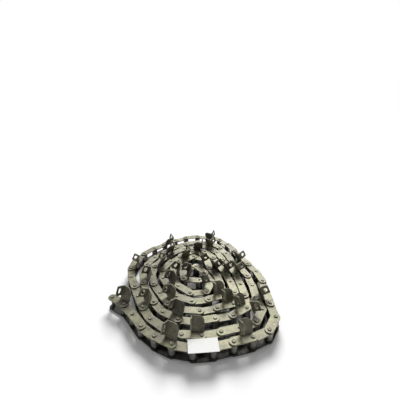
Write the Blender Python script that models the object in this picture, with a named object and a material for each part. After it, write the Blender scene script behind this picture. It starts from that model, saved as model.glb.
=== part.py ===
"""Roller chain with winged links, laid on its side as a flat coil.

The pins stand upright.  The chain starts with a loose end on the outside of the coil and runs
anticlockwise (seen from above) inwards.  Every second outer link carries a wing: a panel bent
up from the inner edge of its upper plate, with a slotted tab folded outwards at the middle of
the link, to which a paddle bolts.

The first links at the loose end are built piece by piece and swing on their pins.  The rest of
the coil is a row of runs, each four links joined into one solid.  All lengths are in metres.
"""
import math

import bmesh
import bpy
from mathutils import Matrix, Vector
from mathutils.geometry import tessellate_polygon

# ---------------------------------------------------------------- driving dimensions
PITCH = 0.0414
ROLLER_DIAMETER = 0.01687
INNER_WIDTH = 0.0198
PLATE_THICKNESS = 0.0026
PLATE_HEIGHT = 0.0202
PIN_DIAMETER = 0.0072
PIN_LENGTH = 0.0350
RIVET_DIAMETER = 0.0088
BUSHING_DIAMETER = 0.0107
CLEARANCE = 0.0003

# wing on every second outer link
WING_LEAN = math.radians(25.0)
WING_HEIGHT = 0.0315
WING_LENGTH = 0.0257
WING_CORNER = 0.0130
TAB_WIDTH = 0.0190
TAB_FOOT = 0.0080
SLOT_WIDTH = 0.0085
SLOT_LENGTH = 0.0135

# paper label lying on the front of the coil
LABEL_SIZE = (0.0600, 0.0310, 0.0006)
LABEL_LINK = 6

# how much of the chain is built piece by piece, and how the rest is divided
LOOSE_LINKS = 6
LINKS_PER_RUN = 4
RUNS = 28
TOTAL_LINKS = LOOSE_LINKS + LINKS_PER_RUN * RUNS

# ---------------------------------------------------------------- coil, radii in pitches
# compass of the outer turn about the coil's centre: direction in degrees, radius
OUTLINE = (
    (-172.0, 4.42), (-150.0, 4.50), (-134.0, 4.58), (-111.0, 5.06), (-90.0, 5.42),
    (-66.0, 5.56), (-47.0, 6.00), (-37.0, 5.78), (-26.0, 5.00), (-9.0, 4.66),
    (12.0, 4.30), (32.0, 4.18), (50.0, 4.72), (71.0, 5.44), (90.0, 5.32),
    (120.0, 4.72), (146.0, 4.56), (168.0, 4.50),
)
MEAN_RADIUS = 4.85
START_DIRECTION = -155.2
END_FLARE = 0.60          # the loose end stands off the coil by this much
FLARE_ANGLE = 6.0
FIRST_STEP = 0.55         # from the first turn to the second
TURN_STEP = 0.65          # from each later turn to the next
ROUNDING = 0.07           # how much rounder each turn is than the one outside it
FRONT_SLACK = 0.20        # the inner turns lie looser at the front
FRONT_DIRECTION = -72.0
CORE_SLACK = 0.08         # the innermost turn lies looser all round
CORE_ANGLE = 1250.0
DIP = 0.26                # the chain ducks in behind its own loose end
DIP_ANGLE = 362.0
DIP_SPREAD = 22.0
CORE_ENTRY = 15.0         # the last run leaves the spiral at this angle
CORE_CURL = 75.0          # and each of its other links turns this much more, into the middle

# ---------------------------------------------------------------- derived heights, widths
HALF_INNER = INNER_WIDTH / 2
INNER_TOP = HALF_INNER + PLATE_THICKNESS
OUTER_LOW = INNER_TOP + CLEARANCE
OUTER_TOP = OUTER_LOW + PLATE_THICKNESS
HEAD_TOP = PIN_LENGTH / 2
HALF_PLATE = PLATE_HEIGHT / 2
MID_HEIGHT = HEAD_TOP     # the chain's middle plane above the surface it lies on

STEEL = (0.30, 0.29, 0.25)
DARK_STEEL = (0.16, 0.155, 0.14)
WORN_STEEL = (0.42, 0.41, 0.37)
PAPER = (0.90, 0.90, 0.88)


# ================================================================ route of the chain
def ease(t):
    """0 below 0, 1 above 1, and smooth between."""
    t = min(max(t, 0.0), 1.0)
    return t * t * (3.0 - 2.0 * t)


def outline_radius(direction):
    """Radius of the outer turn at a direction: a smooth closed curve through OUTLINE."""
    first = OUTLINE[0][0]
    turned = (direction - first) % 360.0 + first
    count = len(OUTLINE)
    index = max(i for i in range(count) if OUTLINE[i][0] <= turned)
    start = OUTLINE[index][0]
    stop = OUTLINE[(index + 1) % count][0] + (360.0 if index == count - 1 else 0.0)
    before, here, there, after = (OUTLINE[(index + k) % count][1] for k in (-1, 0, 1, 2))
    t = (turned - start) / (stop - start)
    linear = there - before
    square = 2.0 * before - 5.0 * here + 4.0 * there - after
    cubic = 3.0 * (here - there) + after - before
    return 0.5 * (2.0 * here + linear * t + square * t ** 2 + cubic * t ** 3)


def coil_radius(angle):
    """Distance from the coil's centre, in pitches, after turning by angle degrees."""
    direction = START_DIRECTION + angle
    first_turn = ease((angle - 306.0) / 54.0)
    later_turns = max(0.0, (angle - 372.0) / 360.0)
    shape = (outline_radius(direction) - MEAN_RADIUS) * (1.0 - ROUNDING * later_turns)
    step = FIRST_STEP * first_turn + TURN_STEP * later_turns
    facing_front = max(0.0, math.cos(math.radians(direction - FRONT_DIRECTION)))
    slack = FRONT_SLACK * ease((angle - 480.0) / 160.0) * facing_front
    slack += CORE_SLACK * ease((angle - CORE_ANGLE) / 120.0)
    dip = 0.0
    if angle > 200.0:
        off = (angle - DIP_ANGLE + 180.0) % 360.0 - 180.0
        dip = DIP * math.exp(-(off / DIP_SPREAD) ** 2 - max(0.0, angle - 400.0) / 1500.0)
    flare = END_FLARE * math.exp(-angle / FLARE_ANGLE)
    return MEAN_RADIUS + shape - step - slack - dip + flare


def coil_point(angle):
    """A point of the route in metres, about the coil's centre."""
    turn = math.radians(START_DIRECTION + angle)
    return Vector((math.cos(turn), math.sin(turn))) * coil_radius(angle) * PITCH


def pin_places():
    """Pins one pitch apart along the coil, from the loose end inwards."""
    angle = 0.0
    places = [coil_point(angle)]
    while len(places) <= TOTAL_LINKS - LINKS_PER_RUN:
        low = angle
        high = angle + 2.0
        while (coil_point(high) - places[-1]).length < PITCH:
            low = high
            high += 2.0
        for _ in range(40):
            angle = (low + high) / 2
            if (coil_point(angle) - places[-1]).length < PITCH:
                low = angle
            else:
                high = angle
        places.append(coil_point(angle))
    step = places[-1] - places[-2]
    for link in range(LINKS_PER_RUN):
        turn = CORE_CURL if link else CORE_ENTRY
        step = Matrix.Rotation(math.radians(turn), 2) @ step
        places.append(places[-1] + step)
    return places


def link_frame(places, index):
    """Matrix with its origin in the middle of a link, x along it and y into the coil."""
    start = places[index]
    stop = places[index + 1]
    along = (stop - start).normalized()
    middle = (start + stop) / 2
    return Matrix((
        (along.x, -along.y, 0.0, middle.x),
        (along.y, along.x, 0.0, middle.y),
        (0.0, 0.0, 1.0, MID_HEIGHT),
        (0.0, 0.0, 0.0, 1.0),
    ))


# ================================================================ mesh helpers
class Shell:
    """A closed mesh put together from flat faces, which may have holes."""

    def __init__(self):
        self.mesh = bmesh.new()
        self.corners = {}

    def corner(self, point):
        key = tuple(round(value * 1e7) for value in point)
        if key not in self.corners:
            self.corners[key] = self.mesh.verts.new(point)
        return self.corners[key]

    def face(self, outer, *holes):
        """Fill a flat loop of points, leaving out the holes."""
        loops = [[Vector(point) for point in loop] for loop in (outer, *holes)]
        points = [point for loop in loops for point in loop]
        for triangle in tessellate_polygon(loops):
            verts = [self.corner(points[i]) for i in triangle]
            if len(set(verts)) == 3 and self.mesh.faces.get(verts) is None:
                self.mesh.faces.new(verts)

    def wall(self, low, high):
        """Faces between two loops with the same number of points."""
        count = len(low)
        for i in range(count):
            j = (i + 1) % count
            self.face((low[i], low[j], high[j], high[i]))

    def finish(self, name):
        bmesh.ops.recalc_face_normals(self.mesh, faces=self.mesh.faces)
        data = bpy.data.meshes.new(name)
        self.mesh.to_mesh(data)
        self.mesh.free()
        return data


def ring(radius, height, sides, centre=(0.0, 0.0)):
    """A level polygon of points about a centre."""
    return [
        (
            centre[0] + radius * math.cos(2 * math.pi * i / sides),
            centre[1] + radius * math.sin(2 * math.pi * i / sides),
            height,
        )
        for i in range(sides)
    ]


def bore_radius(shaft_diameter, sides):
    """Corner radius of a polygonal bore that clears a round shaft."""
    return (shaft_diameter / 2 + CLEARANCE) / math.cos(math.pi / sides)


def raised(loop, height):
    return [(x, y, height) for x, y, _ in loop]


def material(name, colour, roughness, metallic):
    made = bpy.data.materials.new(name)
    made.use_nodes = True
    shader = made.node_tree.nodes["Principled BSDF"]
    shader.inputs["Base Color"].default_value = (*colour, 1.0)
    shader.inputs["Roughness"].default_value = roughness
    shader.inputs["Metallic"].default_value = metallic
    return made


def add_object(name, data, matrix, finish):
    part = bpy.data.objects.new(name, data)
    bpy.context.collection.objects.link(part)
    part.matrix_world = matrix
    if not data.materials:
        data.materials.append(material(data.name + "_finish", *finish))
    return part


def smooth_round(data, angle=40.0):
    data.shade_smooth()
    data.set_sharp_from_angle(angle=math.radians(angle))
    return data


# ================================================================ pieces of a link
def plate_outline(steps):
    """Link plate seen from above: two round ends about the pins and straight sides."""
    points = []
    for side in (1, -1):
        for i in range(steps + 1):
            turn = math.radians(-90.0 + 180.0 * i / steps)
            x = side * (PITCH / 2 + HALF_PLATE * math.cos(turn))
            points.append((x, side * HALF_PLATE * math.sin(turn)))
    return points


def plate_mesh(name, low, bore_diameter, sides=12):
    """A link plate with two bores, its underside at height low."""
    outline = [(x, y, low) for x, y in plate_outline(6)]
    high = low + PLATE_THICKNESS
    shell = Shell()
    radius = bore_radius(bore_diameter, sides)
    bores = [ring(radius, low, sides, (x, 0.0)) for x in (-PITCH / 2, PITCH / 2)]
    shell.face(outline, *bores)
    shell.face(raised(outline, high), *(raised(bore, high) for bore in bores))
    for loop in (outline, *bores):
        shell.wall(loop, raised(loop, high))
    return smooth_round(shell.finish(name))


def pin_mesh(name, sides=12):
    """Pin with a riveted head at each end."""
    shell = Shell()
    shaft = PIN_DIAMETER / 2
    head = RIVET_DIAMETER / 2
    seat = OUTER_TOP + CLEARANCE
    profile = (
        (head, -HEAD_TOP), (head, -seat), (shaft, -seat),
        (shaft, seat), (head, seat), (head, HEAD_TOP),
    )
    loops = [ring(radius, height, sides) for radius, height in profile]
    shell.face(loops[0])
    for low, high in zip(loops, loops[1:]):
        shell.wall(low, high)
    shell.face(loops[-1])
    return smooth_round(shell.finish(name))


def tube_mesh(name, outer_diameter, bore_radius_value, half_length, sides=12):
    """A bushing or a roller: a round tube standing on the pin's axis."""
    shell = Shell()
    outer = ring(outer_diameter / 2, -half_length, sides)
    inner = ring(bore_radius_value, -half_length, sides)
    shell.face(outer, inner)
    shell.face(raised(outer, half_length), raised(inner, half_length))
    shell.wall(outer, raised(outer, half_length))
    shell.wall(inner, raised(inner, half_length))
    return smooth_round(shell.finish(name))


def wing_mesh(name, corner_steps):
    """Panel and slotted tab in the link's frame, footed in the upper plate's inner edge.

    The panel is drawn in its own plane: x along the link, v up the panel, n out of it.
    """
    half = PLATE_THICKNESS / 2
    foot = Vector((0.0, HALF_PLATE + 0.0002, OUTER_TOP - half))
    up = Vector((0.0, math.sin(WING_LEAN), math.cos(WING_LEAN)))
    out = Vector((0.0, math.cos(WING_LEAN), -math.sin(WING_LEAN)))
    buried = -0.0008
    back = -PLATE_THICKNESS

    def place(x, v, n):
        return foot + Vector((x, 0.0, 0.0)) + up * v + out * n

    corner = [
        (
            WING_LENGTH - WING_CORNER * (1.0 - math.sin(math.pi / 2 * i / corner_steps)),
            WING_HEIGHT - WING_CORNER * (1.0 - math.cos(math.pi / 2 * i / corner_steps)),
        )
        for i in range(corner_steps + 1)
    ]
    slot_middle = (TAB_FOOT + WING_HEIGHT) / 2
    slot_n = -half - TAB_WIDTH * 0.55
    straight = (SLOT_LENGTH - SLOT_WIDTH) / 2
    slot = []
    for end in (1, -1):
        for turn in (-60.0, 0.0, 60.0) if corner_steps < 4 else (-90.0, -45.0, 0.0, 45.0, 90.0):
            angle = math.radians(90.0 + turn)
            slot.append((
                slot_middle + end * (straight + SLOT_WIDTH / 2 * math.sin(angle)),
                slot_n + end * SLOT_WIDTH / 2 * math.cos(angle),
            ))
    shell = Shell()
    edge = -half - TAB_WIDTH
    shell.face(
        [place(back, v, n) for v, n in (
            (buried, half), (WING_HEIGHT, half), (WING_HEIGHT, edge),
            (TAB_FOOT, edge), (TAB_FOOT, -half), (buried, -half))],
        [place(back, v, n) for v, n in slot],
    )
    shell.face(
        [place(0.0, v, n) for v, n in (
            (TAB_FOOT, -half), (WING_HEIGHT, -half), (WING_HEIGHT, edge), (TAB_FOOT, edge))],
        [place(0.0, v, n) for v, n in slot],
    )
    shell.wall([place(back, v, n) for v, n in slot], [place(0.0, v, n) for v, n in slot])
    shell.face([place(x, v, half) for x, v in
                ((back, buried), (back, WING_HEIGHT), *corner, (WING_LENGTH, buried))])
    shell.face([place(x, v, -half) for x, v in
                ((back, buried), (back, TAB_FOOT), (0.0, TAB_FOOT), (0.0, WING_HEIGHT),
                 *corner, (WING_LENGTH, buried))])
    shell.face([place(x, TAB_FOOT, n) for x, n in
                ((back, -half), (0.0, -half), (0.0, edge), (back, edge))])
    shell.face([place(x, v, edge) for x, v in
                ((back, TAB_FOOT), (0.0, TAB_FOOT), (0.0, WING_HEIGHT), (back, WING_HEIGHT))])
    shell.face([place(x, WING_HEIGHT, n) for x, n in
                ((back, half), (corner[0][0], half), (corner[0][0], -half),
                 (0.0, -half), (0.0, edge), (back, edge))])
    rim = [*corner, (WING_LENGTH, buried), (back, buried)]
    for (x0, v0), (x1, v1) in zip(rim, rim[1:]):
        shell.face([place(x0, v0, half), place(x1, v1, half),
                    place(x1, v1, -half), place(x0, v0, -half)])
    return shell.finish(name)


def join_wing(part, wing, frame):
    """Fuse a wing onto a plate or run: the wing is a hidden guide for a Boolean."""
    guide = bpy.data.objects.new(part.name + "_wing", wing)
    bpy.context.collection.objects.link(guide)
    guide.matrix_world = frame
    guide.hide_render = True
    guide.display_type = "WIRE"
    union = part.modifiers.new("wing", "BOOLEAN")
    union.operation = "UNION"
    union.solver = "EXACT"
    union.object = guide


# ================================================================ joined runs of the coil
def mitred_sides(pins):
    """For each pin, the offset across the chain that keeps both its links parallel-sided."""
    along = [(b - a).normalized() for a, b in zip(pins, pins[1:])]
    across = [Vector((-d.y, d.x)) for d in along]
    offsets = [across[0]]
    for left, right in zip(across, across[1:]):
        offsets.append((left + right) / (1.0 + left.dot(right)))
    offsets.append(across[-1])
    return along, across, offsets


def add_strip(shell, pins, side, column_at_start):
    """The plates above (side 1) or below (side -1) the rollers of one run.

    The run starts with an outer link, whose end overlaps the inner link before it, and
    ends with an inner link.  Returns the loops that the columns grow from.
    """
    along, across, offsets = mitred_sides(pins)
    last = len(pins) - 1
    nose = 0.0055
    flat = HALF_PLATE - nose

    def spot(link, distance, width):
        """Both edges of the chain at a distance past a link's first pin."""
        middle = pins[link] + along[link] * distance
        return [middle + across[link] * w * width for w in (HALF_PLATE, -HALF_PLATE)]

    def at_pin(index):
        return [pins[index] + offsets[index] * w for w in (HALF_PLATE, -HALF_PLATE)]

    stations = {
        "tip": spot(0, -HALF_PLATE, 0.45),
        "shoulder": spot(0, -flat, 1.0),
        "step": spot(0, math.hypot(HALF_PLATE, 0.45 * HALF_PLATE) + CLEARANCE, 1.0),
        "pin1": at_pin(1),
        "end1": spot(1, HALF_PLATE, 1.0),
        "start2": spot(1, PITCH - HALF_PLATE, 1.0),
        "pin2": at_pin(2),
        "pin3": at_pin(3),
        "end3": spot(3, HALF_PLATE, 1.0),
        "last_shoulder": spot(last - 1, PITCH + flat, 1.0),
        "last_tip": spot(last - 1, PITCH + HALF_PLATE, 0.45),
    }

    def point(station, edge, height):
        spot_xy = stations[station][edge]
        return (spot_xy.x, spot_xy.y, side * height)

    def level(names, height, holes=()):
        left = [point(name, 0, height) for name in names]
        right = [point(name, 1, height) for name in reversed(names)]
        shell.face(left + right, *holes)

    low, mid, high, top = HALF_INNER, INNER_TOP, OUTER_LOW, OUTER_TOP
    columns = {
        i: ring(ROLLER_DIAMETER / 2, side * low, 6, pins[i]) for i in range(1, last + 1)
    }
    start_column = []
    if column_at_start:
        start_column = [ring(PIN_DIAMETER / 2, side * high, 10, pins[0])]
    heads = [ring(RIVET_DIAMETER / 2, side * top, 6, pins[i]) for i in range(last)]

    level(("tip", "shoulder", "pin1", "end1"), top, heads[:2])
    level(("end1", "start2"), mid)
    level(("start2", "pin2", "pin3", "end3"), top, heads[2:])
    level(("end3", "last_shoulder", "last_tip"), mid)
    level(("tip", "shoulder", "step"), high, start_column)
    level(("step", "pin1", "pin2", "pin3", "last_shoulder", "last_tip"), low, columns.values())
    for name, bottom, ceiling in (
            ("tip", high, top), ("step", low, high), ("end1", mid, top),
            ("start2", mid, top), ("end3", mid, top), ("last_tip", low, mid)):
        shell.face([point(name, 0, bottom), point(name, 1, bottom),
                    point(name, 1, ceiling), point(name, 0, ceiling)])
    for edge in (0, 1):
        for walk in (
                (("tip", high), ("shoulder", high), ("shoulder", top), ("tip", top)),
                (("shoulder", high), ("step", high), ("step", low), ("pin1", low),
                 ("pin1", top), ("shoulder", top)),
                (("pin1", low), ("pin2", low), ("pin2", top), ("start2", top),
                 ("start2", mid), ("end1", mid), ("end1", top), ("pin1", top)),
                (("pin2", low), ("pin3", low), ("pin3", top), ("pin2", top)),
                (("pin3", low), ("last_shoulder", low), ("last_shoulder", mid),
                 ("end3", mid), ("end3", top), ("pin3", top)),
                (("last_shoulder", low), ("last_tip", low), ("last_tip", mid),
                 ("last_shoulder", mid))):
            shell.face([point(name, edge, height) for name, height in walk])
    for head in heads:
        shell.wall(head, raised(head, side * HEAD_TOP))
        shell.face(raised(head, side * HEAD_TOP))
    return [*columns.values(), *start_column]


def run_mesh(name, pins, first):
    """Four links of the coil as one solid: two strips of plates and the rollers between."""
    shell = Shell()
    upper = add_strip(shell, pins, 1, first)
    lower = add_strip(shell, pins, -1, first)
    for bottom, top in zip(lower, upper):
        shell.wall(bottom, top)
    return shell.finish(name)


# ================================================================ the whole object
def build_loose_end(places, wing):
    """The links that swing, each piece a solid of its own."""
    dark = (DARK_STEEL, 0.55, 0.8)
    steel = (STEEL, 0.5, 0.8)
    worn = (WORN_STEEL, 0.35, 0.9)
    outer_upper = plate_mesh("outer_plate_upper", OUTER_LOW, PIN_DIAMETER)
    outer_winged = plate_mesh("outer_plate_winged", OUTER_LOW, PIN_DIAMETER)
    outer_lower = plate_mesh("outer_plate_lower", -OUTER_TOP, PIN_DIAMETER)
    inner_upper = plate_mesh("inner_plate_upper", HALF_INNER, BUSHING_DIAMETER)
    inner_lower = plate_mesh("inner_plate_lower", -INNER_TOP, BUSHING_DIAMETER)
    pin = pin_mesh("chain_pin")
    bushing = tube_mesh("chain_bushing", BUSHING_DIAMETER, bore_radius(PIN_DIAMETER, 12), INNER_TOP)
    roller = tube_mesh("chain_roller", ROLLER_DIAMETER, bore_radius(BUSHING_DIAMETER, 12),
                       HALF_INNER - CLEARANCE)
    for index in range(LOOSE_LINKS):
        number = index // 2 + 1
        frame = link_frame(places, index)
        ends = [frame @ Matrix.Translation((x, 0.0, 0.0)) for x in (-PITCH / 2, PITCH / 2)]
        if index % 2 == 0:
            winged = index % 4 == 0
            upper = add_object(f"outer_link_{number}_upper_plate",
                               outer_winged if winged else outer_upper, frame, steel)
            if winged:
                join_wing(upper, wing, frame)
            add_object(f"outer_link_{number}_lower_plate", outer_lower, frame, steel)
            for letter, place in zip("ab", ends):
                add_object(f"outer_link_{number}_pin_{letter}", pin, place, worn)
        else:
            add_object(f"inner_link_{number}_upper_plate", inner_upper, frame, steel)
            add_object(f"inner_link_{number}_lower_plate", inner_lower, frame, steel)
            for letter, place in zip("ab", ends):
                add_object(f"inner_link_{number}_bushing_{letter}", bushing, place, dark)
                add_object(f"inner_link_{number}_roller_{letter}", roller, place, worn)


def build_coil(places, wing):
    """The rest of the chain, in runs of four links."""
    for run in range(RUNS):
        start = LOOSE_LINKS + run * LINKS_PER_RUN
        pins = places[start:start + LINKS_PER_RUN + 1]
        name = f"coil_run_{run + 1:02d}"
        middle = pins[0]
        local = [pin - middle for pin in pins]
        place = Matrix.Translation((middle.x, middle.y, MID_HEIGHT))
        body = add_object(name, run_mesh(name, local, run == 0), place, (STEEL, 0.5, 0.8))
        join_wing(body, wing, link_frame(places, start + 2))


def build_label(places):
    """A blank paper label on top of the pins at the front."""
    frame = link_frame(places, LABEL_LINK)
    length, width, thickness = LABEL_SIZE
    low = HEAD_TOP + CLEARANCE
    shell = Shell()
    corners = [(x * length / 2, y * width / 2, low)
               for x, y in ((-1, -1), (1, -1), (1, 1), (-1, 1))]
    shell.face(corners)
    shell.face(raised(corners, low + thickness))
    shell.wall(corners, raised(corners, low + thickness))
    add_object("paper_label", shell.finish("paper_label"), frame, (PAPER, 0.9, 0.0))


def centred(places):
    """Shift the route so that the origin is under the middle of the chain's outline."""
    xs = []
    ys = []
    for index in range(len(places) - 1):
        frame = link_frame(places, index)
        for x, y in plate_outline(12):
            corner = frame @ Vector((x, y, 0.0))
            xs.append(corner.x)
            ys.append(corner.y)
    middle = Vector(((min(xs) + max(xs)) / 2, (min(ys) + max(ys)) / 2))
    return [place - middle for place in places]


def stand_on_origin():
    """Move everything so that the origin is under the middle of the whole object."""
    bpy.context.view_layer.update()
    graph = bpy.context.evaluated_depsgraph_get()
    low = Vector((math.inf, math.inf, math.inf))
    high = -low
    for part in bpy.data.objects:
        if part.hide_render:
            continue
        for vertex in part.evaluated_get(graph).data.vertices:
            spot = part.matrix_world @ vertex.co
            low = Vector(map(min, low, spot))
            high = Vector(map(max, high, spot))
    middle = Vector(((low.x + high.x) / 2, (low.y + high.y) / 2, low.z))
    for part in bpy.data.objects:
        part.location -= middle


def main():
    for leftover in list(bpy.data.objects):
        bpy.data.objects.remove(leftover, do_unlink=True)
    places = centred(pin_places())
    fine_wing = wing_mesh("wing_of_loose_link", 5)
    plain_wing = wing_mesh("wing_of_coil_link", 2)
    build_loose_end(places, fine_wing)
    build_coil(places, plain_wing)
    build_label(places)
    stand_on_origin()


main()
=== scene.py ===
import math

import bmesh
import bpy
from mathutils import Matrix, Vector
from mathutils.geometry import tessellate_polygon


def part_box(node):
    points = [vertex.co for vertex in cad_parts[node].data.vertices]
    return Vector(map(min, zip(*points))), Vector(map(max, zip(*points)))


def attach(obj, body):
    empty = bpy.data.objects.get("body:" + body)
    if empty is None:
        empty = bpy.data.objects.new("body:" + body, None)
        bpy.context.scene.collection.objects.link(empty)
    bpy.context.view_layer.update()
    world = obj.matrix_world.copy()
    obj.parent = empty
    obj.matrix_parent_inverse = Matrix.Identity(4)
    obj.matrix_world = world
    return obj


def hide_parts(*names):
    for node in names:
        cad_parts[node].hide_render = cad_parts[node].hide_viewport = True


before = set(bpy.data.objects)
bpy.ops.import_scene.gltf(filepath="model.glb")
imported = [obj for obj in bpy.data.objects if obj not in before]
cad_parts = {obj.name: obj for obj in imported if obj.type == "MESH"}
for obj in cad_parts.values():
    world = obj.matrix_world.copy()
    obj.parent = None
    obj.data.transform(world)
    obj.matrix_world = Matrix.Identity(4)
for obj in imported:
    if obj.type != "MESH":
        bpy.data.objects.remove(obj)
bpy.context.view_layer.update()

# ---------------------------------------------------------------- dimensions, in metres
PITCH = 0.0414
ROLLER_RADIUS = 0.00843
HALF_INNER = 0.0099
PLATE_THICKNESS = 0.0026
CLEARANCE = 0.0003
HALF_PLATE = 0.0101
PIN_RADIUS = 0.0036
RIVET_RADIUS = 0.0044
BUSHING_RADIUS = 0.00535
MID_HEIGHT = 0.0175
INNER_TOP = HALF_INNER + PLATE_THICKNESS
OUTER_LOW = INNER_TOP + CLEARANCE
OUTER_TOP = OUTER_LOW + PLATE_THICKNESS
HEAD_TOP = MID_HEIGHT
WING_LEAN = math.radians(25.0)
WING_HEIGHT = 0.0315
WING_LENGTH = 0.0257
WING_CORNER = 0.0130
TAB_WIDTH = 0.0190
TAB_FOOT = 0.0080
SLOT_WIDTH = 0.0085
SLOT_LENGTH = 0.0135
LABEL_LENGTH = 0.0600
LABEL_WIDTH = 0.0310
LABEL_SHEET = 0.0002
LABEL_BOW = 0.00018
LABEL_LINK = 6

# fine detail that the CAD leaves out
PLATE_RIM = 0.00045       # the rounded-over rim of a punched plate
TUBE_RIM = 0.0006
EDGE_SOFTNESS = 0.0003
TAB_CORNER = 0.0035
WING_OFFSET = 0.0002      # from the plate's edge out to the panel
WING_FOOT = 0.0009        # how far the panel reaches down into its plate
BEND_INSET = 0.0022       # where the bend leaves the plate, inside its edge
BEND_RADIUS = 0.0016
SLIVER = 0.0002           # keeps two faces of one piece from lying on each other
RUNNING_FIT = 0.0002      # play between a round piece and what turns on it
PRESS_FIT = 0.0001
ROUND_SIDES = 28
PIN_SIDES = 24
BORE_SIDES = 20

# ---------------------------------------------------------------- how the chain is divided
LOOSE_LINKS = 6
LINKS_PER_RUN = 4
RUNS = 28
TOTAL_LINKS = LOOSE_LINKS + LINKS_PER_RUN * RUNS

# ---------------------------------------------------------------- route, radii in pitches
OUTLINE = (
    (-172.0, 4.42), (-150.0, 4.50), (-134.0, 4.58), (-111.0, 5.06), (-90.0, 5.42),
    (-66.0, 5.56), (-47.0, 6.00), (-37.0, 5.78), (-26.0, 5.00), (-9.0, 4.66),
    (12.0, 4.30), (32.0, 4.18), (50.0, 4.72), (71.0, 5.44), (90.0, 5.32),
    (120.0, 4.72), (146.0, 4.56), (168.0, 4.50),
)
MEAN_RADIUS = 4.85
START_DIRECTION = -155.2
END_FLARE = 0.60          # the loose end stands off the coil by this much
FLARE_ANGLE = 6.0
FIRST_STEP = 0.55         # from the first turn to the second
TURN_STEP = 0.65          # from each later turn to the next
ROUNDING = 0.07           # how much rounder each turn is than the one outside it
FRONT_SLACK = 0.20        # the inner turns lie looser at the front
FRONT_DIRECTION = -72.0
CORE_SLACK = 0.08         # the innermost turn lies looser all round
CORE_ANGLE = 1250.0
DIP = 0.26                # the chain ducks in behind its own loose end
DIP_ANGLE = 362.0
DIP_SPREAD = 22.0
CORE_ENTRY = 15.0         # the last run leaves the spiral at this angle
CORE_CURL = 75.0          # and each of its other links turns this much more, into the middle

# ---------------------------------------------------------------- light and camera
FLOOR_HALF = 40.0
FLOOR_LEVEL = -0.0001
CAMERA_LENS = 22.5
CAMERA_TILT = 70.1
CAMERA_PLACE = (0.55, -14.04, 10.39)    # from the route's centre, at the plates' top, in pitches
SUN_POWER = 3.1
SUN_ANGLE = 28.0
SUN_DIRECTION = (-0.12, -0.80, -0.75)
SOFTBOX_PLACE = (0.35, 1.25, 1.15)
SOFTBOX_SIZE = (1.5, 0.7)
SOFTBOX_POWER = 5.0
# the backdrop's strength is a product of two fades: axis, from, to, strength there and there
BACKDROP_FADES = (("Y", -0.6, 0.2, 0.88, 1.0), ("Z", 0.34, 0.62, 1.0, 0.25))


def ease(t):
    """0 below 0, 1 above 1, and smooth between."""
    t = min(max(t, 0.0), 1.0)
    return t * t * (3.0 - 2.0 * t)


def outline_radius(direction):
    """Radius of the outer turn at a direction: a smooth closed curve through OUTLINE."""
    turned = (direction - OUTLINE[0][0]) % 360.0 + OUTLINE[0][0]
    count = len(OUTLINE)
    index = max(i for i in range(count) if OUTLINE[i][0] <= turned)
    start = OUTLINE[index][0]
    stop = OUTLINE[(index + 1) % count][0] + (360.0 if index == count - 1 else 0.0)
    before, here, there, after = (OUTLINE[(index + k) % count][1] for k in (-1, 0, 1, 2))
    t = (turned - start) / (stop - start)
    linear = there - before
    square = 2.0 * before - 5.0 * here + 4.0 * there - after
    cubic = 3.0 * (here - there) + after - before
    return 0.5 * (2.0 * here + linear * t + square * t ** 2 + cubic * t ** 3)


def coil_radius(angle):
    """Distance from the coil's centre, in pitches, after turning by angle degrees."""
    direction = START_DIRECTION + angle
    first_turn = ease((angle - 306.0) / 54.0)
    later_turns = max(0.0, (angle - 372.0) / 360.0)
    shape = (outline_radius(direction) - MEAN_RADIUS) * (1.0 - ROUNDING * later_turns)
    step = FIRST_STEP * first_turn + TURN_STEP * later_turns
    facing_front = max(0.0, math.cos(math.radians(direction - FRONT_DIRECTION)))
    slack = FRONT_SLACK * ease((angle - 480.0) / 160.0) * facing_front
    slack += CORE_SLACK * ease((angle - CORE_ANGLE) / 120.0)
    dip = 0.0
    if angle > 200.0:
        off = (angle - DIP_ANGLE + 180.0) % 360.0 - 180.0
        dip = DIP * math.exp(-(off / DIP_SPREAD) ** 2 - max(0.0, angle - 400.0) / 1500.0)
    flare = END_FLARE * math.exp(-angle / FLARE_ANGLE)
    return MEAN_RADIUS + shape - step - slack - dip + flare


def coil_point(angle):
    """A point of the route in metres, about the coil's centre."""
    turn = math.radians(START_DIRECTION + angle)
    return Vector((math.cos(turn), math.sin(turn))) * coil_radius(angle) * PITCH


def pin_places():
    """Pins one pitch apart along the coil, moved so that the first is on its CAD pin."""
    angle = 0.0
    places = [coil_point(angle)]
    while len(places) <= TOTAL_LINKS - LINKS_PER_RUN:
        low = angle
        high = angle + 2.0
        while (coil_point(high) - places[-1]).length < PITCH:
            low = high
            high += 2.0
        for _ in range(40):
            angle = (low + high) / 2
            if (coil_point(angle) - places[-1]).length < PITCH:
                low = angle
            else:
                high = angle
        places.append(coil_point(angle))
    step = places[-1] - places[-2]
    for link in range(LINKS_PER_RUN):
        turn = CORE_CURL if link else CORE_ENTRY
        step = Matrix.Rotation(math.radians(turn), 2) @ step
        places.append(places[-1] + step)
    low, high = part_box("outer_link_1_pin_a")
    shift = (Vector(low) + Vector(high)).xy / 2 - places[0]
    return [place + shift for place in places]


def link_frame(places, index):
    """Matrix with its origin in the middle of a link, x along it and y into the coil."""
    start = places[index]
    stop = places[index + 1]
    along = (stop - start).normalized()
    middle = (start + stop) / 2
    return Matrix((
        (along.x, -along.y, 0.0, middle.x),
        (along.y, along.x, 0.0, middle.y),
        (0.0, 0.0, 1.0, MID_HEIGHT),
        (0.0, 0.0, 0.0, 1.0),
    ))


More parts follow.
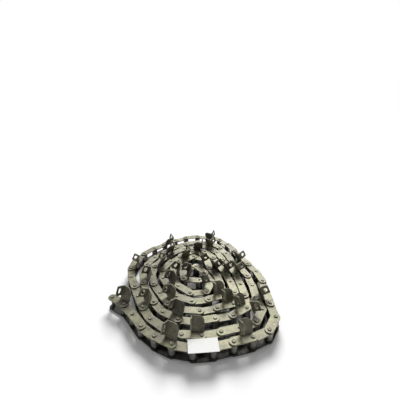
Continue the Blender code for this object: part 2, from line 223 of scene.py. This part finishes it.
# ================================================================ materials
SCRATCH = (0.62, 0.60, 0.54, 1.0)
WORN_EDGE = (0.66, 0.64, 0.56, 1.0)
BRIGHT_EDGE = (0.78, 0.76, 0.68, 1.0)
CLEAN_PAPER = (0.80, 0.80, 0.78, 1.0)
STAINED_PAPER = (0.62, 0.60, 0.53, 1.0)
FLOOR_COLOUR = (0.93, 0.93, 0.93, 1.0)
SHADE_TOP_HEIGHT = 0.029      # above this the steel gets no painted shade


class Nodes:
    """Short helper to wire a material's nodes."""

    def __init__(self, name):
        self.material = bpy.data.materials.new(name)
        self.material.use_nodes = True
        self.tree = self.material.node_tree
        self.shader = self.tree.nodes["Principled BSDF"]
        self.coords = self.tree.nodes.new("ShaderNodeTexCoord").outputs["Object"]

    def add(self, kind, inputs=None, **settings):
        node = self.tree.nodes.new(kind)
        for key, value in settings.items():
            setattr(node, key, value)
        for key, value in (inputs or {}).items():
            if isinstance(value, bpy.types.NodeSocket):
                self.tree.links.new(value, node.inputs[key])
            else:
                node.inputs[key].default_value = value
        return node

    def noise(self, scale, detail=4.0, roughness=0.6, stretch=None):
        vector = self.coords
        if stretch:
            vector = self.add("ShaderNodeMapping", {"Vector": vector, "Scale": stretch}).outputs[0]
        return self.add("ShaderNodeTexNoise", {
            "Vector": vector, "Scale": scale, "Detail": detail, "Roughness": roughness,
        }).outputs["Fac"]

    def ramp(self, value, *stops):
        node = self.add("ShaderNodeValToRGB", {"Fac": value})
        ramp = node.color_ramp
        while len(ramp.elements) < len(stops):
            ramp.elements.new(0.5)
        for element, (place, colour) in zip(ramp.elements, stops):
            element.position = place
            element.color = colour if len(colour) == 4 else (*colour, 1.0)
        return node.outputs["Color"]

    def grey(self, value, *stops):
        return self.ramp(value, *((place, (v, v, v)) for place, v in stops))

    def mix(self, factor, a, b, blend="MIX"):
        node = self.add("ShaderNodeMix", data_type="RGBA", blend_type=blend)
        for socket, value in ((0, factor), (6, a), (7, b)):
            if isinstance(value, bpy.types.NodeSocket):
                self.tree.links.new(value, node.inputs[socket])
            else:
                node.inputs[socket].default_value = value
        return node.outputs[2]

    def math(self, operation, a, b):
        return self.add("ShaderNodeMath", {0: a, 1: b}, operation=operation).outputs[0]

    def painted_low_shade(self, base, low, least):
        """Painted shade: darkens a colour towards the floor, where the lower parts lie in the upper
        plates' shade.
        """
        height = self.add("ShaderNodeSeparateXYZ", {0: self.coords}).outputs["Z"]
        share = self.add("ShaderNodeMapRange", {
            "Value": height, "From Min": low, "From Max": SHADE_TOP_HEIGHT,
            "To Min": least, "To Max": 1.0,
        }).outputs[0]
        return self.mix(1.0, base, self.grey(share, (0.0, 0.0), (1.0, 1.0)), "MULTIPLY")

    def edges(self, width):
        """About 1 on convex edges and 0 on flat faces."""
        bevel = self.add("ShaderNodeBevel", {"Radius": width}, samples=6).outputs[0]
        normal = self.add("ShaderNodeNewGeometry").outputs["Normal"]
        dot = self.add("ShaderNodeVectorMath", {0: bevel, 1: normal}, operation="DOT_PRODUCT")
        return self.grey(dot.outputs["Value"], (0.80, 1.0), (0.97, 0.0))

    def set(self, name, value):
        if isinstance(value, bpy.types.NodeSocket):
            self.tree.links.new(value, self.shader.inputs[name])
        else:
            self.shader.inputs[name].default_value = value

    def bump(self, height, strength, distance=0.0002):
        node = self.add("ShaderNodeBump", {
            "Height": height, "Strength": strength, "Distance": distance,
        })
        self.set("Normal", node.outputs["Normal"])


def plate_steel(name, gloss, dark, light, tint):
    """Rolled plate under a film of oil: mottled, finely scratched, bright along its edges, with
    painted shade towards the floor.
    """
    n = Nodes(name)
    blotch = n.noise(38.0, 5.0, 0.65)
    fine = n.noise(420.0, 6.0, 0.7)
    drawn = n.noise(160.0, 8.0, 0.75, (1.0, 9.0, 1.0))
    base = n.ramp(blotch, (0.34, dark), (0.52, light), (0.68, tint))
    grime = n.grey(n.noise(95.0, 7.0, 0.7), (0.32, 0.34), (0.55, 1.0))
    base = n.mix(0.75, base, grime, "MULTIPLY")
    broad = n.grey(n.noise(13.0, 2.0, 0.5), (0.36, 0.52), (0.62, 1.06))
    base = n.mix(0.9, base, broad, "MULTIPLY")
    base = n.mix(n.grey(drawn, (0.56, 0.0), (0.74, 0.35)), base, SCRATCH)
    wear = n.math("MULTIPLY", n.edges(0.0007), n.grey(fine, (0.35, 0.25), (0.6, 0.75)))
    base = n.mix(wear, base, WORN_EDGE)
    # painted shade: darker towards the floor, under the upper plates
    base = n.painted_low_shade(base, 0.008, 0.10)
    n.set("Base Color", base)
    n.set("Metallic", 0.45)
    n.set("Roughness", n.grey(blotch, (0.30, gloss + 0.10), (0.70, gloss + 0.30)))
    n.bump(n.math("ADD", n.math("MULTIPLY", fine, 0.7), drawn), 0.35)
    return n.material


def round_steel(name, colour, gloss, seats):
    """Ground round pieces: fine turning marks, oil in the hollows, and painted shade towards the
    floor.
    """
    n = Nodes(name)
    marks = n.noise(260.0, 5.0, 0.7, (1.0, 1.0, 7.0))
    patch = n.noise(60.0, 4.0, 0.6)
    base = n.ramp(marks, (0.35, tuple(c * 0.62 for c in colour)), (0.62, colour))
    base = n.mix(n.grey(patch, (0.42, 0.0), (0.62, 0.45)), base, seats)
    base = n.mix(n.math("MULTIPLY", n.edges(0.0006), 0.6), base, BRIGHT_EDGE)
    # painted shade: darker towards the floor, under the upper plates
    base = n.painted_low_shade(base, 0.0, 0.25)
    n.set("Base Color", base)
    n.set("Metallic", 0.9)
    n.set("Roughness", n.grey(patch, (0.35, gloss), (0.70, gloss + 0.18)))
    n.bump(marks, 0.25, 0.0001)
    return n.material


def paper_finish():
    """Matt white paper with a fine tooth, a little soiled."""
    n = Nodes("label_paper")
    fibre = n.noise(900.0, 4.0, 0.8)
    stain = n.noise(45.0, 4.0, 0.6)
    n.set("Base Color", n.mix(n.grey(stain, (0.52, 0.0), (0.75, 0.25)), CLEAN_PAPER, STAINED_PAPER))
    n.set("Roughness", n.grey(fibre, (0.3, 0.75), (0.7, 0.95)))
    n.bump(fibre, 0.25, 0.0001)
    return n.material


PLATE = plate_steel("oiled_plate", 0.30,
                    (0.098, 0.088, 0.056), (0.198, 0.187, 0.120), (0.243, 0.258, 0.153))
# wing panels: the plates' own steel painted darker, as painted shade for panels that face away from
# the light
WING_SHADED_STEEL = plate_steel("wing_plate_painted_shade", 0.36,
                   (0.080, 0.072, 0.048), (0.172, 0.160, 0.108), (0.215, 0.220, 0.142))
ROLLER = round_steel("ground_roller", (0.40, 0.39, 0.35), 0.28, (0.07, 0.065, 0.05, 1.0))
PIN = round_steel("riveted_pin", (0.17, 0.16, 0.125), 0.40, (0.055, 0.05, 0.04, 1.0))
BUSHING = round_steel("dark_bushing", (0.20, 0.195, 0.18), 0.38, (0.07, 0.065, 0.06, 1.0))
PAPER = paper_finish()


# ================================================================ mesh helpers
class Shell:
    """Closed meshes put together from flat faces, which may have holes."""

    def __init__(self):
        self.mesh = bmesh.new()
        self.corners = {}
        self.slot = 0
        self.place = Matrix()

    def start(self, slot, place):
        """Begin another closed piece, with its own finish and place."""
        self.corners = {}
        self.slot = slot
        self.place = place

    def corner(self, point):
        key = tuple(round(value * 1e7) for value in point)
        if key not in self.corners:
            self.corners[key] = self.mesh.verts.new(self.place @ Vector(point))
        return self.corners[key]

    def face(self, outer, *holes):
        loops = [[Vector(point) for point in loop] for loop in (outer, *holes)]
        points = [point for loop in loops for point in loop]
        if holes or len(outer) > 4:
            shapes = tessellate_polygon(loops)
        else:
            shapes = [range(len(outer))]
        for shape in shapes:
            verts = [self.corner(points[i]) for i in shape]
            if len(set(verts)) == len(verts) and self.mesh.faces.get(verts) is None:
                self.mesh.faces.new(verts).material_index = self.slot

    def wall(self, low, high):
        for i in range(len(low)):
            j = (i + 1) % len(low)
            self.face((low[i], low[j], high[j], high[i]))

    def finish(self, name, *materials):
        bmesh.ops.recalc_face_normals(self.mesh, faces=self.mesh.faces)
        data = bpy.data.meshes.new(name)
        self.mesh.to_mesh(data)
        self.mesh.free()
        for finish in materials:
            data.materials.append(finish)
        data.shade_smooth()
        data.set_sharp_from_angle(angle=math.radians(32.0))
        return data


def ring(radius, height, sides=ROUND_SIDES, centre=(0.0, 0.0)):
    """A level polygon of points about a centre."""
    return [
        (
            centre[0] + radius * math.cos(2 * math.pi * i / sides),
            centre[1] + radius * math.sin(2 * math.pi * i / sides),
            height,
        )
        for i in range(sides)
    ]


def raised(loop, height):
    """The same loop at another height."""
    return [(x, y, height) for x, y, _ in loop]


def add_turned(shell, slot, place, profile, sides=ROUND_SIDES):
    """A turned piece: profile is a closed row of (radius, height) for a tube, open for a bar."""
    shell.start(slot, place)
    loops = [ring(radius, height, sides) for radius, height in profile]
    for low, high in zip(loops, loops[1:]):
        shell.wall(low, high)
    if profile[0] != profile[-1]:
        shell.face(loops[0])
        shell.face(loops[-1])


def plate_outline(inset=0.0, steps=14):
    """Link plate seen from above: two round ends about the pins and straight sides."""
    points = []
    reach = HALF_PLATE - inset
    for side in (1, -1):
        for i in range(steps + 1):
            turn = math.radians(-90.0 + 180.0 * i / steps)
            x = side * (PITCH / 2 + reach * math.cos(turn))
            points.append((x, side * reach * math.sin(turn)))
    return points


def add_plate(shell, slot, place, low, bore):
    """A punched plate with a softened rim on both faces, its underside at height low."""
    shell.start(slot, place)
    high = low + PLATE_THICKNESS
    rim = [(x, y, 0.0) for x, y in plate_outline()]
    inner = [(x, y, 0.0) for x, y in plate_outline(PLATE_RIM)]
    stack = ((inner, low), (rim, low + PLATE_RIM), (rim, high - PLATE_RIM), (inner, high))
    loops = [raised(loop, height) for loop, height in stack]
    for a, b in zip(loops, loops[1:]):
        shell.wall(a, b)
    bores = [[ring(bore, height, BORE_SIDES, (x, 0.0)) for height in (low, high)]
             for x in (-PITCH / 2, PITCH / 2)]
    shell.face(loops[0], *(pair[0] for pair in bores))
    shell.face(loops[-1], *(pair[1] for pair in bores))
    for pair in bores:
        shell.wall(*pair)


def add_wing(shell, slot, place):
    """Panel and slotted tab, in the panel's own plane: x along the link, v up, n out of it."""
    half = PLATE_THICKNESS / 2
    foot = Vector((0.0, HALF_PLATE + WING_OFFSET, OUTER_TOP - half))
    up = Vector((0.0, math.sin(WING_LEAN), math.cos(WING_LEAN)))
    out = Vector((0.0, math.cos(WING_LEAN), -math.sin(WING_LEAN)))
    buried = -WING_FOOT
    back = -PLATE_THICKNESS
    edge = -half - TAB_WIDTH
    steps = 8
    shell.start(slot, place)

    def spot(x, v, n):
        """A point of the panel's own plane in the link's frame."""
        return tuple(foot + Vector((x, 0.0, 0.0)) + up * v + out * n)

    corner = [
        (
            WING_LENGTH - WING_CORNER * (1.0 - math.sin(math.pi / 2 * i / steps)),
            WING_HEIGHT - WING_CORNER * (1.0 - math.cos(math.pi / 2 * i / steps)),
        )
        for i in range(steps + 1)
    ]
    slot_v = (TAB_FOOT + WING_HEIGHT) / 2
    slot_n = -half - TAB_WIDTH * 0.55
    straight = (SLOT_LENGTH - SLOT_WIDTH) / 2
    opening = []
    for end in (1, -1):
        for i in range(9):
            angle = math.radians(22.5 * i)
            opening.append((
                slot_v + end * (straight + SLOT_WIDTH / 2 * math.sin(angle)),
                slot_n + end * SLOT_WIDTH / 2 * math.cos(angle),
            ))
    rounded = []
    for mid_v, turn in ((WING_HEIGHT - TAB_CORNER, 0.0), (TAB_FOOT + TAB_CORNER, 90.0)):
        for i in range(5):
            angle = math.radians(turn + 22.5 * i)
            rounded.append((mid_v + TAB_CORNER * math.cos(angle),
                            edge + TAB_CORNER - TAB_CORNER * math.sin(angle)))
    tab_rim = [(WING_HEIGHT, -half), *rounded, (TAB_FOOT, -half)]
    back_rim = [(buried, half), (WING_HEIGHT, half), *rounded, (TAB_FOOT, -half), (buried, -half)]
    slot_back = [spot(back, v, n) for v, n in opening]
    slot_front = [spot(0.0, v, n) for v, n in opening]
    shell.face([spot(back, v, n) for v, n in back_rim], slot_back)
    shell.face([spot(0.0, v, n) for v, n in tab_rim], slot_front)
    shell.wall(slot_back, slot_front)
    shell.face([spot(x, v, half) for x, v in
                ((back, buried), (back, WING_HEIGHT), *corner, (WING_LENGTH, buried))])
    shell.face([spot(x, v, -half) for x, v in
                ((back, buried), (back, TAB_FOOT), (0.0, TAB_FOOT), (0.0, WING_HEIGHT),
                 *corner, (WING_LENGTH, buried))])
    for (v0, n0), (v1, n1) in zip(tab_rim, tab_rim[1:]):
        shell.face([spot(back, v0, n0), spot(back, v1, n1), spot(0.0, v1, n1), spot(0.0, v0, n0)])
    turn_in = corner[0][0]
    shell.face([spot(x, WING_HEIGHT, n) for x, n in
                ((back, half), (turn_in, half), (turn_in, -half), (0.0, -half), (back, -half))])
    rim = [*corner, (WING_LENGTH, buried), (back, buried)]
    for (x0, v0), (x1, v1) in zip(rim, rim[1:]):
        shell.face([spot(x0, v0, half), spot(x1, v1, half),
                    spot(x1, v1, -half), spot(x0, v0, -half)])
    add_bend(shell, slot, place)


def add_bend(shell, slot, place):
    """The bend that turns the plate's edge up into the panel: a profile drawn along the link."""
    low = OUTER_LOW + SLIVER
    high = OUTER_TOP - SLIVER
    start = HALF_PLATE - BEND_INSET
    profile = [(start, low), (start, high)]
    for i in range(5):
        angle = math.radians(16.0 * i)
        profile.append((start + BEND_RADIUS * math.sin(angle),
                        high + BEND_RADIUS * (1.0 - math.cos(angle))))
    profile.append((HALF_PLATE + 0.0014, OUTER_TOP + 0.0012))
    profile.append((HALF_PLATE + 0.0010, OUTER_TOP - 0.0010))
    profile.append((HALF_PLATE + 0.0002, low + 0.0006))
    shell.start(slot, place)
    near, far = ([(x, y, z) for y, z in profile]
                 for x in (SLIVER - PLATE_THICKNESS, WING_LENGTH - SLIVER))
    shell.face(near)
    shell.face(far)
    shell.wall(near, far)


def add_pin(shell, slot, place):
    """Pin with riveted ends: a crowned head with a shallow dimple."""
    seat = OUTER_TOP + PRESS_FIT
    top = [(PIN_RADIUS, seat), (RIVET_RADIUS * 0.98, seat), (RIVET_RADIUS, seat + 0.0005),
           (RIVET_RADIUS, HEAD_TOP - 0.0008), (RIVET_RADIUS * 0.86, HEAD_TOP - 0.00015),
           (RIVET_RADIUS * 0.66, HEAD_TOP), (RIVET_RADIUS * 0.42, HEAD_TOP - 0.0002),
           (RIVET_RADIUS * 0.20, HEAD_TOP - 0.0005)]
    profile = [(radius, -height) for radius, height in reversed(top)] + top
    add_turned(shell, slot, place, profile, PIN_SIDES)


def add_tube(shell, slot, place, outer, bore, half_length):
    """A bushing or a roller: a round tube with its outer rims rounded over."""
    profile = [(bore, -half_length), (outer - TUBE_RIM, -half_length),
               (outer, -half_length + TUBE_RIM), (outer, half_length - TUBE_RIM),
               (outer - TUBE_RIM, half_length), (bore, half_length), (bore, -half_length)]
    add_turned(shell, slot, place, profile)


# ================================================================ pieces
PLACES = pin_places()
# a run's finishes, in the order of its material slots; a loose piece's own finish is in slot 0
PLATE_SLOT, WING_SLOT, ROLLER_SLOT, PIN_SLOT, BUSHING_SLOT = range(5)


def make(name, body, shell, finish_slot, replaced, *materials):
    """Turn a shell into a piece on a body, in place of CAD nodes."""
    piece = bpy.data.objects.new(name, shell.finish(name, *materials))
    bpy.context.collection.objects.link(piece)
    soft = piece.modifiers.new("edges", "BEVEL")
    soft.width = EDGE_SOFTNESS
    soft.segments = 2
    soft.limit_method = "ANGLE"
    soft.angle_limit = math.radians(50.0)
    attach(piece, body)
    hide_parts(*replaced)


def ends_of(link_matrix):
    """Matrices at a link's two pins."""
    return [link_matrix @ Matrix.Translation((x, 0.0, 0.0)) for x in (-PITCH / 2, PITCH / 2)]


def build_run(run):
    """Four links in full detail, in place of one joined run."""
    shell = Shell()
    start = LOOSE_LINKS + run * LINKS_PER_RUN
    for index in range(start, start + LINKS_PER_RUN):
        here = link_frame(PLACES, index)
        if index % 2 == 0:
            add_plate(shell, PLATE_SLOT, here, OUTER_LOW, PIN_RADIUS + PRESS_FIT)
            add_plate(shell, PLATE_SLOT, here, -OUTER_TOP, PIN_RADIUS + PRESS_FIT)
            if index % 4 == 0:
                add_wing(shell, WING_SLOT, here)
            for place in ends_of(here):
                add_pin(shell, PIN_SLOT, place)
        else:
            add_plate(shell, PLATE_SLOT, here, HALF_INNER, BUSHING_RADIUS)
            add_plate(shell, PLATE_SLOT, here, -INNER_TOP, BUSHING_RADIUS)
            for place in ends_of(here):
                add_tube(shell, BUSHING_SLOT, place, BUSHING_RADIUS, PIN_RADIUS, INNER_TOP)
                add_tube(shell, ROLLER_SLOT, place,
                         ROLLER_RADIUS, BUSHING_RADIUS, HALF_INNER - CLEARANCE)
    name = f"coil_run_{run + 1:02d}"
    make(name + "_links", "coil", shell, "coil", [name], PLATE, WING_SHADED_STEEL, ROLLER, PIN, BUSHING)


def build_loose_link(index):
    """One link of the loose end: every piece replaces its own CAD node."""
    here = link_frame(PLACES, index)
    number = index // 2 + 1
    if index % 2 == 0:
        body = f"outer_link_{number}"
        for word, low in (("upper", OUTER_LOW), ("lower", -OUTER_TOP)):
            shell = Shell()
            add_plate(shell, PLATE_SLOT, here, low, PIN_RADIUS + PRESS_FIT)
            if word == "upper" and index % 4 == 0:
                add_wing(shell, WING_SLOT, here)
            node = f"{body}_{word}_plate"
            make(node + "_fine", body, shell, "plate", [node], PLATE, WING_SHADED_STEEL)
        for letter, place in zip("ab", ends_of(here)):
            shell = Shell()
            add_pin(shell, 0, place)
            node = f"{body}_pin_{letter}"
            make(node + "_fine", body, shell, "pin", [node], PIN)
        return
    body = f"inner_link_{number}"
    for word, low in (("upper", HALF_INNER), ("lower", -INNER_TOP)):
        shell = Shell()
        add_plate(shell, PLATE_SLOT, here, low, BUSHING_RADIUS)
        node = f"{body}_{word}_plate"
        make(node + "_fine", body, shell, "plate", [node], PLATE)
    for letter, place in zip("ab", ends_of(here)):
        shell = Shell()
        add_tube(shell, 0, place, BUSHING_RADIUS, PIN_RADIUS + RUNNING_FIT, INNER_TOP)
        node = f"{body}_bushing_{letter}"
        make(node + "_fine", body, shell, "bushing", [node], BUSHING)
        shell = Shell()
        add_tube(shell, 0, place,
                 ROLLER_RADIUS, BUSHING_RADIUS + RUNNING_FIT, HALF_INNER - CLEARANCE)
        node = f"{body}_roller_{letter}"
        make(node + "_fine", node, shell, "roller", [node], ROLLER)


def build_label():
    """A thin tag lying on the pin heads, bowed a little along its length."""
    low = HEAD_TOP + CLEARANCE
    half = LABEL_WIDTH / 2
    shell = Shell()
    shell.start(0, link_frame(PLACES, LABEL_LINK))
    steps = 16
    loops = []
    for i in range(steps + 1):
        x = (i / steps - 0.5) * LABEL_LENGTH
        base = low + LABEL_BOW * (1.0 + math.cos(2 * math.pi * i / steps))
        loops.append([(x, -half, base), (x, half, base),
                      (x, half, base + LABEL_SHEET), (x, -half, base + LABEL_SHEET)])
    for a, b in zip(loops, loops[1:]):
        shell.wall(a, b)
    shell.face(loops[0])
    shell.face(loops[-1])
    make("paper_label_fine", "coil", shell, "label", ["paper_label"], PAPER)


for loose in range(LOOSE_LINKS):
    build_loose_link(loose)
for number in range(RUNS):
    build_run(number)
build_label()


# ================================================================ floor, light, camera
def add_to_scene(name, data):
    """A new object that shows a mesh, a light or a camera."""
    made = bpy.data.objects.new(name, data)
    bpy.context.collection.objects.link(made)
    return made


def build_floor():
    """A plain pale floor that reaches the horizon."""
    finish = Nodes("pale_floor")
    finish.set("Base Color", FLOOR_COLOUR)
    finish.set("Roughness", 0.9)
    mesh = bpy.data.meshes.new("floor")
    corners = [(x * FLOOR_HALF, y * FLOOR_HALF, FLOOR_LEVEL)
               for x, y in ((-1, -1), (1, -1), (1, 1), (-1, 1))]
    mesh.from_pydata(corners, [], [(0, 1, 2, 3)])
    mesh.materials.append(finish.material)
    floor = add_to_scene("floor", mesh)


def build_backdrop():
    """White surroundings, dimmer overhead and a little dimmer towards the front."""
    world = bpy.data.worlds.new("studio")
    bpy.context.scene.world = world
    world.use_nodes = True
    tree = world.node_tree
    backdrop = tree.nodes["Background"]
    split = tree.nodes.new("ShaderNodeSeparateXYZ")
    tree.links.new(tree.nodes.new("ShaderNodeTexCoord").outputs["Generated"], split.inputs[0])
    strength = tree.nodes.new("ShaderNodeMath")
    strength.operation = "MULTIPLY"
    for socket, (axis, *values) in enumerate(BACKDROP_FADES):
        fade = tree.nodes.new("ShaderNodeMapRange")
        for name, value in zip(("From Min", "From Max", "To Min", "To Max"), values):
            fade.inputs[name].default_value = value
        tree.links.new(split.outputs[axis], fade.inputs["Value"])
        tree.links.new(fade.outputs[0], strength.inputs[socket])
    tree.links.new(strength.outputs[0], backdrop.inputs["Strength"])
    backdrop.inputs["Color"].default_value = (1.0, 1.0, 1.0, 1.0)


def build_lights():
    """A softbox behind the coil and an even light from the same side."""
    softbox = bpy.data.lights.new("back_softbox", "AREA")
    softbox.shape = "RECTANGLE"
    softbox.size, softbox.size_y = SOFTBOX_SIZE
    softbox.energy = SOFTBOX_POWER
    lamp = add_to_scene("back_softbox", softbox)
    lamp.location = SOFTBOX_PLACE
    lamp.rotation_euler = (-Vector(SOFTBOX_PLACE)).to_track_quat("-Z", "Y").to_euler()
    daylight = bpy.data.lights.new("even_daylight", "SUN")
    daylight.energy = SUN_POWER
    daylight.angle = math.radians(SUN_ANGLE)
    lamp = add_to_scene("even_daylight", daylight)
    lamp.rotation_euler = Vector(SUN_DIRECTION).to_track_quat("-Z", "Y").to_euler()


def build_camera():
    """From in front of the coil and above it, looking along +Y and down."""
    camera = bpy.data.cameras.new("camera")
    camera.lens = CAMERA_LENS
    camera.sensor_width = 36.0
    camera.dof.use_dof = False
    camera.clip_start = 0.01
    view = add_to_scene("camera", camera)
    route_centre = PLACES[0] - coil_point(0.0)
    right, ahead, up = CAMERA_PLACE
    height = MID_HEIGHT + OUTER_TOP + up * PITCH
    view.location = (route_centre.x + right * PITCH, route_centre.y + ahead * PITCH, height)
    view.rotation_euler = (math.radians(CAMERA_TILT), 0.0, 0.0)
    bpy.context.scene.camera = view


build_floor()
build_backdrop()
build_lights()
build_camera()
bpy.context.scene.view_settings.view_transform = "Standard"
